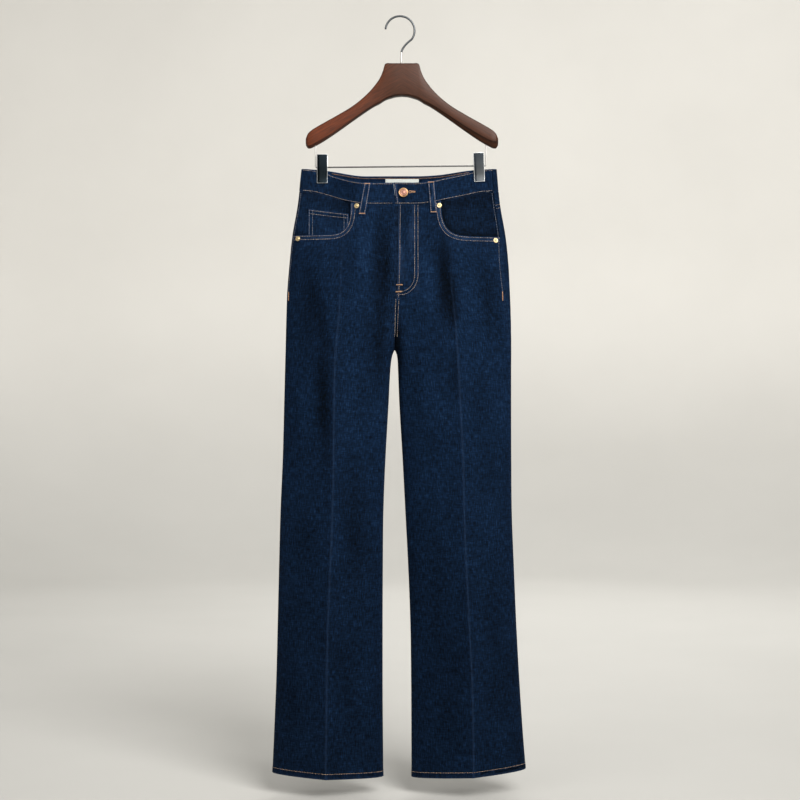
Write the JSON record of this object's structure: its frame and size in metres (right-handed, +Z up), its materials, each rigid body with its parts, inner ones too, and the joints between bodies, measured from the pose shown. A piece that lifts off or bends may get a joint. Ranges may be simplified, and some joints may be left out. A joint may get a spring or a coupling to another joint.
{
  "type": "high-rise bootcut jeans on a wooden clip hanger",
  "caption": "Flat-pressed dark indigo jeans with flared legs, five-pocket front and lapped fly, hung by the waistband from the clips of a wooden hanger with a wire hook.",
  "frame": {"origin": "underside of the hook's crown, where it hangs on a rail", "axes": "+Z up, the front of the jeans faces -Y, +X to the right of someone looking at the front"},
  "size_m": [0.4614, 0.0902, 1.3843],
  "materials": {
    "denim": "dark indigo twill, fine lighter slub, tan topstitching",
    "denim_inside": "greyish blue inner face of the denim",
    "cotton_tape": "plain white woven tape, bare",
    "copper": "rose copper cap in a pale gold rim, satin",
    "brass": "pale brass, polished",
    "walnut": "dark brown walnut, satin lacquer",
    "chrome": "polished chrome wire",
    "steel": "dark mirror-plated spring steel"
  },
  "bodies": {
    "root": {"front_panel_left": "denim", "front_panel_right": "denim", "back_panel_left": "denim", "back_panel_right": "denim", "yoke_left": "denim", "yoke_right": "denim", "waistband_front_left": "denim", "waistband_front_right": "denim", "waistband_back": "denim", "pocket_facing_left": "denim", "pocket_facing_right": "denim", "coin_pocket": "denim", "back_pocket_left": "denim", "back_pocket_right": "denim", "belt_loop_front_left": "denim", "belt_loop_front_right": "denim", "belt_loop_back_left": "denim", "belt_loop_back_right": "denim", "belt_loop_back_centre": "denim", "fly_shield": "denim_inside", "waist_label": "cotton_tape", "fly_button": "copper", "rivet_left_waist": "brass", "rivet_left_side": "brass", "rivet_right_waist": "brass", "rivet_right_side": "brass", "hanger_wood": "walnut", "hanger_hook": "chrome", "hanger_bar": "chrome", "clip_left": "steel", "clip_right": "steel"}
  },
  "joints": []
}
